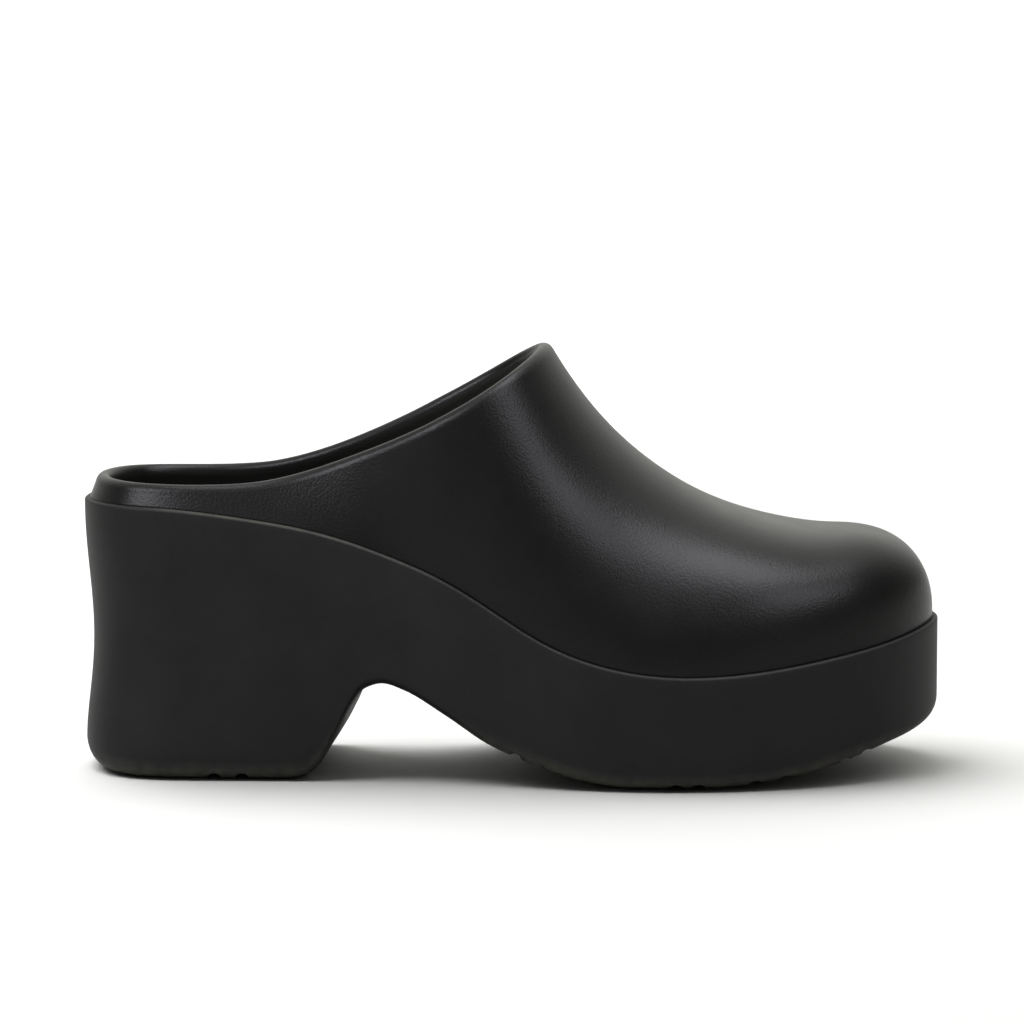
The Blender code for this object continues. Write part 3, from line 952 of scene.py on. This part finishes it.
def cut_grooves(piece, settings):
    """Cuts the pairs of tread grooves across the underside of the sole."""
    width = GROOVE_OVERHANG * max(abs(mark.y) for mark in OUTLINE) * 2 * MM
    radius = settings.groove_radius
    cutters = []
    for x, z in groove_axes(settings):
        mesh = bmesh.new()
        bmesh.ops.create_cone(
            mesh, cap_ends=True, segments=GROOVE_SEGMENTS, radius1=radius, radius2=radius, depth=width
        )
        data = bpy.data.meshes.new("groove")
        mesh.to_mesh(data)
        mesh.free()
        cutter = bpy.data.objects.new("groove", data)
        cutter.location = (x * MM, 0.0, z * MM)
        cutter.rotation_euler = (math.pi / 2, 0.0, 0.0)
        bpy.context.scene.collection.objects.link(cutter)
        cut = piece.modifiers.new("groove", "BOOLEAN")
        cut.operation = "DIFFERENCE"
        cut.object = cutter
        cutters.append(cutter)
    evaluated = piece.evaluated_get(bpy.context.evaluated_depsgraph_get())
    carved = bpy.data.meshes.new_from_object(evaluated)
    piece.modifiers.clear()
    piece.data = carved
    carved.shade_smooth()
    carved.set_sharp_from_angle(angle=GROOVE_SMOOTH_ANGLE)
    for cutter in cutters:
        bpy.data.objects.remove(cutter, do_unlink=True)


def mark_painted_light(piece, settings):
    """Notes on each point its share of painted light: painted floor bounce on the rounded lower edge between
    the grooves, and a painted glint on the ledge.
    """
    places = np.zeros(3 * len(piece.data.vertices))
    piece.data.vertices.foreach_get("co", places)
    places = places.reshape(-1, 3) / MM
    along, up = places[:, 0], places[:, 2]
    heights = np.array([z - underside_height((x, y)) for x, y, z in places])
    # Painted floor bounce: a band just above the underside, fading with height above the floor
    band = (1 - fade(heights, *BOUNCE_BAND_RISE)) * fade(heights, *BOUNCE_BAND_FADE)
    # Painted glint on the ledge's rounded edge, between the heel and the arch
    behind_arch = (1 - fade(along, *LEDGE_GLINT_RISE)) * fade(along, *LEDGE_GLINT_FADE)
    ledge = fade(seam_height(along) - up, *LEDGE_GLINT_DROP_FADE)
    worn = band * fade(up, *BOUNCE_HEIGHT_FADE) + LEDGE_GLINT * ledge * behind_arch
    reach_of_groove = settings.groove_radius / MM + GROOVE_WALL_SLACK
    for x, z in groove_axes(settings):
        worn[np.hypot(along - x, up - z) < reach_of_groove] = 0.0
    piece.data.attributes.new("worn", "FLOAT", "POINT").data.foreach_set("value", worn)


class Finish:
    """A material with a Principled shader, and short calls that add and join its nodes."""

    def __init__(self, name, colour, roughness, shine):
        self.material = bpy.data.materials.new(name)
        self.material.use_nodes = True
        self.tree = self.material.node_tree
        self.shader = self.tree.nodes["Principled BSDF"]
        self.shader.inputs["Base Color"].default_value = (*colour, 1.0)
        self.shader.inputs["Roughness"].default_value = roughness
        self.shader.inputs["Specular IOR Level"].default_value = shine
        self.place = self.node("ShaderNodeTexCoord").outputs["Object"]

    def node(self, kind, **settings):
        made = self.tree.nodes.new(kind)
        for name, value in settings.items():
            setattr(made, name, value)
        return made

    def join(self, source, target):
        self.tree.links.new(source, target)

    def mark(self, name):
        """The value that is noted on each point under this name."""
        return self.node("ShaderNodeAttribute", attribute_name=name).outputs["Fac"]

    def noise(self, width, detail=2.0, roughness=0.5):
        """Soft noise whose blobs are about this wide, in metres."""
        made = self.node("ShaderNodeTexNoise")
        made.inputs["Scale"].default_value = 1.0 / width
        made.inputs["Detail"].default_value = detail
        made.inputs["Roughness"].default_value = roughness
        self.join(self.place, made.inputs["Vector"])
        return made.outputs["Fac"]

    def pebbles(self, width):
        """Rounded cells about this wide, high in their middles."""
        made = self.node("ShaderNodeTexVoronoi", feature="SMOOTH_F1")
        made.inputs["Scale"].default_value = 1.0 / width
        made.inputs["Smoothness"].default_value = PEBBLE_SMOOTHNESS
        self.join(self.place, made.inputs["Vector"])
        return made.outputs["Distance"]

    def span(self, value, low, high):
        """The value from 0 to 1 made to run from low to high."""
        made = self.node("ShaderNodeMapRange")
        made.inputs["To Min"].default_value = low
        made.inputs["To Max"].default_value = high
        self.join(value, made.inputs["Value"])
        return made.outputs["Result"]

    def bump(self, heights, depth, below=None):
        """Raises the surface by these heights times depth, in metres, on top of another bump."""
        made = self.node("ShaderNodeBump")
        made.inputs["Distance"].default_value = depth
        self.join(heights, made.inputs["Height"])
        if below is not None:
            self.join(below, made.inputs["Normal"])
        return made.outputs["Normal"]

    def ramp(self, *stops):
        """A ramp through colours at their stops, which sets the base colour."""
        made = self.node("ShaderNodeValToRGB")
        for _ in stops[2:]:
            made.color_ramp.elements.new(0.5)
        for element, (position, colour) in zip(made.color_ramp.elements, stops):
            element.position = position
            element.color = (*colour, 1.0)
        self.join(made.outputs["Color"], self.shader.inputs["Base Color"])
        return made


def upper_finish(settings):
    """Satin black foam with a fine leather grain moulded into it, and painted light on its inner face."""
    finish = Finish("upper_satin", settings.colour, settings.roughness, settings.shine)
    # The inner face and the inner part of the rim get painted light: a lighter colour than the outer skin
    ramp = finish.ramp((INSIDE_START, settings.colour), (1.0, settings.inner_painted_light))
    finish.join(finish.mark("inside"), ramp.inputs["Fac"])
    low, high = settings.roughness - GLOSS_PATCH_SPREAD, settings.roughness + GLOSS_PATCH_SPREAD
    finish.join(finish.span(finish.noise(GLOSS_PATCH_WIDTH), low, high), finish.shader.inputs["Roughness"])
    dents = finish.bump(finish.noise(DENT_WIDTH), settings.grain_depth / 2)
    grain = finish.bump(finish.pebbles(settings.grain_size), -settings.grain_depth, dents)
    fine = finish.bump(finish.noise(settings.grain_size / 3), settings.grain_depth / 3, grain)
    finish.join(fine, finish.shader.inputs["Normal"])
    return finish.material


def sole_finish(settings):
    """Matte black foam with a fine sand texture, cloudy in tone, with patchy painted floor bounce and a
    painted ledge glint where points are marked with painted light.
    """
    finish = Finish("sole_matte", settings.colour, settings.roughness, settings.shine)
    clouds = finish.span(finish.noise(CLOUD_WIDTH, detail=4.0), *CLOUD_TONES)
    bounce_noise = finish.span(finish.noise(BOUNCE_NOISE_WIDTH, detail=4.0), *BOUNCE_NOISE_TONES)
    tone = finish.node("ShaderNodeMath", operation="MULTIPLY_ADD", use_clamp=True)
    for source, target in zip((finish.mark("worn"), bounce_noise, clouds), tone.inputs):
        finish.join(source, target)
    shades = [[part * share for part in settings.colour] for share in CLOUD_SHADES]
    # The first stops are the foam's own cloudy tone; the last stop paints the floor bounce and the ledge
    # glint
    ramp = finish.ramp(*zip(CLOUD_STOPS, shades), (1.0, settings.bounce_and_glint_colour))
    finish.join(tone.outputs["Value"], ramp.inputs["Fac"])
    sand = finish.bump(finish.noise(SAND_WIDTH, detail=3.0), SAND_DEPTH)
    finish.join(sand, finish.shader.inputs["Normal"])
    return finish.material


def insole_finish(settings):
    """Dull soft foam with a pebbled face."""
    finish = Finish("insole_soft", settings.colour, settings.roughness, settings.shine)
    pebble = finish.bump(finish.pebbles(settings.pebble_size), -settings.pebble_depth)
    finish.join(pebble, finish.shader.inputs["Normal"])
    return finish.material


class CLOG_OT_make_upper(bpy.types.Operator):
    """Makes the hollow moulded upper"""

    bl_idname = "clog.make_upper"
    bl_label = "Make the upper"

    def execute(self, context):
        settings = context.scene.clog_upper
        ledge = round(context.scene.clog_sole.ledge / MM, 4)
        skin, shares = upper_skin(settings, ledge)
        piece = make_piece("moulded_upper", skin, upper_finish(settings))
        piece.data.attributes.new("inside", "FLOAT", "POINT").data.foreach_set("value", shares)
        stand_for(piece, "upper")
        return {"FINISHED"}


class CLOG_OT_make_sole(bpy.types.Operator):
    """Makes the platform sole and cuts its tread grooves"""

    bl_idname = "clog.make_sole"
    bl_label = "Make the sole"

    def execute(self, context):
        settings = context.scene.clog_sole
        wall = context.scene.clog_upper.wall / MM
        skin = sole_skin(settings, wall, context.scene.clog_insole.thickness / MM)
        piece = make_piece("moulded_sole", skin, sole_finish(settings))
        cut_grooves(piece, settings)
        mark_painted_light(piece, settings)
        stand_for(piece, "platform_sole")
        return {"FINISHED"}


class CLOG_OT_make_insole(bpy.types.Operator):
    """Makes the insole in the sole's recess"""

    bl_idname = "clog.make_insole"
    bl_label = "Make the insole"

    def execute(self, context):
        settings = context.scene.clog_insole
        ledge = round(context.scene.clog_sole.ledge / MM, 4)
        skin = insole_skin(settings, ledge, context.scene.clog_upper.wall / MM)
        piece = make_piece("soft_insole", skin, insole_finish(settings))
        stand_for(piece, "insole")
        return {"FINISHED"}


class CLOG_OT_set_stage(bpy.types.Operator):
    """Sets the pale floor, the studio light and the camera"""

    bl_idname = "clog.set_stage"
    bl_label = "Set the stage"

    def execute(self, context):
        settings = context.scene.clog_stage
        lay_floor(settings)
        light_room(context.scene, settings)
        for softbox in SOFTBOXES:
            hang_softbox(softbox, getattr(settings, f"{softbox.side}_power"))
        set_camera(context.scene, settings)
        context.scene.view_settings.view_transform = "Standard"
        return {"FINISHED"}


def lay_floor(settings):
    """A wide pale floor that glows white away from the shoe, as an overlit studio sweep does."""
    mesh = bpy.data.meshes.new("studio_floor")
    built = bmesh.new()
    bmesh.ops.create_grid(built, x_segments=2, y_segments=2, size=FLOOR_HALF_SIZE)
    built.to_mesh(mesh)
    built.free()
    finish = Finish("floor_white", settings.floor_colour, FLOOR_ROUGHNESS, FLOOR_SHINE)
    finish.shader.inputs["Emission Color"].default_value = (*FLOOR_GLOW, 1.0)
    distance = finish.node("ShaderNodeVectorMath", operation="LENGTH")
    finish.join(finish.place, distance.inputs[0])
    glow = finish.node("ShaderNodeMapRange", interpolation_type="SMOOTHSTEP")
    glow.inputs["From Min"].default_value, glow.inputs["From Max"].default_value = FLOOR_GLOW_RISE
    finish.join(distance.outputs["Value"], glow.inputs["Value"])
    finish.join(glow.outputs["Result"], finish.shader.inputs["Emission Strength"])
    mesh.materials.append(finish.material)
    floor = bpy.data.objects.new("studio_floor", mesh)
    bpy.context.scene.collection.objects.link(floor)
    floor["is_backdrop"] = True


def light_room(scene, settings):
    """A white wall behind the shoe and a dim room all round."""
    world = bpy.data.worlds.new("studio_room")
    world.use_nodes = True
    scene.world = world
    nodes, links = world.node_tree.nodes, world.node_tree.links
    place = nodes.new("ShaderNodeTexCoord")
    toward_wall = nodes.new("ShaderNodeVectorMath")
    toward_wall.operation = "DOT_PRODUCT"
    toward_wall.inputs[1].default_value = WALL_DIRECTION
    links.new(place.outputs["Generated"], toward_wall.inputs[0])
    level = nodes.new("ShaderNodeMapRange")
    level.interpolation_type = "SMOOTHSTEP"
    level.inputs["From Min"].default_value, level.inputs["From Max"].default_value = WALL_RISE
    level.inputs["To Min"].default_value = settings.room_level
    level.inputs["To Max"].default_value = settings.back_level
    links.new(toward_wall.outputs["Value"], level.inputs["Value"])
    links.new(level.outputs["Result"], nodes["Background"].inputs["Strength"])
    nodes["Background"].inputs["Color"].default_value = (*ROOM_TINT, 1.0)


def hang_softbox(softbox, power):
    """A soft light that faces the shoe, turned about its own axis by its roll."""
    name = f"{softbox.side}_softbox"
    light = bpy.data.lights.new(name, "AREA")
    light.shape = "RECTANGLE"
    light.size, light.size_y = softbox.size
    light.energy = power
    lamp = bpy.data.objects.new(name, light)
    lamp.location = softbox.place
    lamp.rotation_euler = (Vector(SOFTBOX_AIM) - lamp.location).to_track_quat("-Z", "Y").to_euler()
    lamp.rotation_euler.rotate_axis("Z", softbox.roll)
    if softbox.lights == "floor":
        lamp.visible_glossy = False
    else:
        lamp.visible_diffuse = False
        light.color = COOL_LIGHT
    bpy.context.scene.collection.objects.link(lamp)


def set_camera(scene, settings):
    """Looks at the shoe's outer side from a little above."""
    lens = bpy.data.cameras.new("photo_camera")
    lens.lens = settings.lens
    lens.sensor_width = SENSOR_WIDTH
    lens.clip_end = VIEW_DEPTH
    camera = bpy.data.objects.new("photo_camera", lens)
    aim = Vector((0.0, 0.0, settings.aim_height))
    back = Vector((0.0, -math.cos(settings.elevation), math.sin(settings.elevation)))
    camera.location = aim + back * settings.distance
    camera.rotation_euler = (math.pi / 2 - settings.elevation, 0.0, 0.0)
    scene.collection.objects.link(camera)
    scene.camera = camera


class CLOG_PT_panel(bpy.types.Panel):
    """Lists the clog's pieces and their sizes"""

    bl_idname = "CLOG_PT_panel"
    bl_label = "Platform clog"
    bl_space_type = "VIEW_3D"
    bl_region_type = "UI"
    bl_category = "Clog"

    def draw(self, context):
        for operator, group in STEPS:
            box = self.layout.box()
            box.operator(operator)
            settings = getattr(context.scene, group)
            for name in settings.__annotations__:
                box.prop(settings, name)


STEPS = (
    ("clog.make_upper", "clog_upper"),
    ("clog.make_sole", "clog_sole"),
    ("clog.make_insole", "clog_insole"),
    ("clog.set_stage", "clog_stage"),
)
GROUPS = {
    "clog_upper": UpperSettings,
    "clog_sole": SoleSettings,
    "clog_insole": InsoleSettings,
    "clog_stage": StageSettings,
}
CLASSES = (
    *GROUPS.values(),
    CLOG_OT_make_upper,
    CLOG_OT_make_sole,
    CLOG_OT_make_insole,
    CLOG_OT_set_stage,
    CLOG_PT_panel,
)


def register():
    for kind in CLASSES:
        bpy.utils.register_class(kind)
    for name, group in GROUPS.items():
        setattr(bpy.types.Scene, name, PointerProperty(type=group))


def unregister():
    for name in GROUPS:
        delattr(bpy.types.Scene, name)
    for kind in reversed(CLASSES):
        bpy.utils.unregister_class(kind)


def main():
    """Makes every piece and the stage, and measures the size of the solids and of the dressed shoe."""
    register()
    bpy.ops.clog.make_upper()
    bpy.ops.clog.make_sole()
    bpy.ops.clog.make_insole()
    bpy.ops.clog.set_stage()
    boxes = {"cad": CAD_BOX, "visual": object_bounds()}
    {name: [list(corner) for corner in box] for name, box in boxes.items()}


if __name__ == "__main__":
    main()
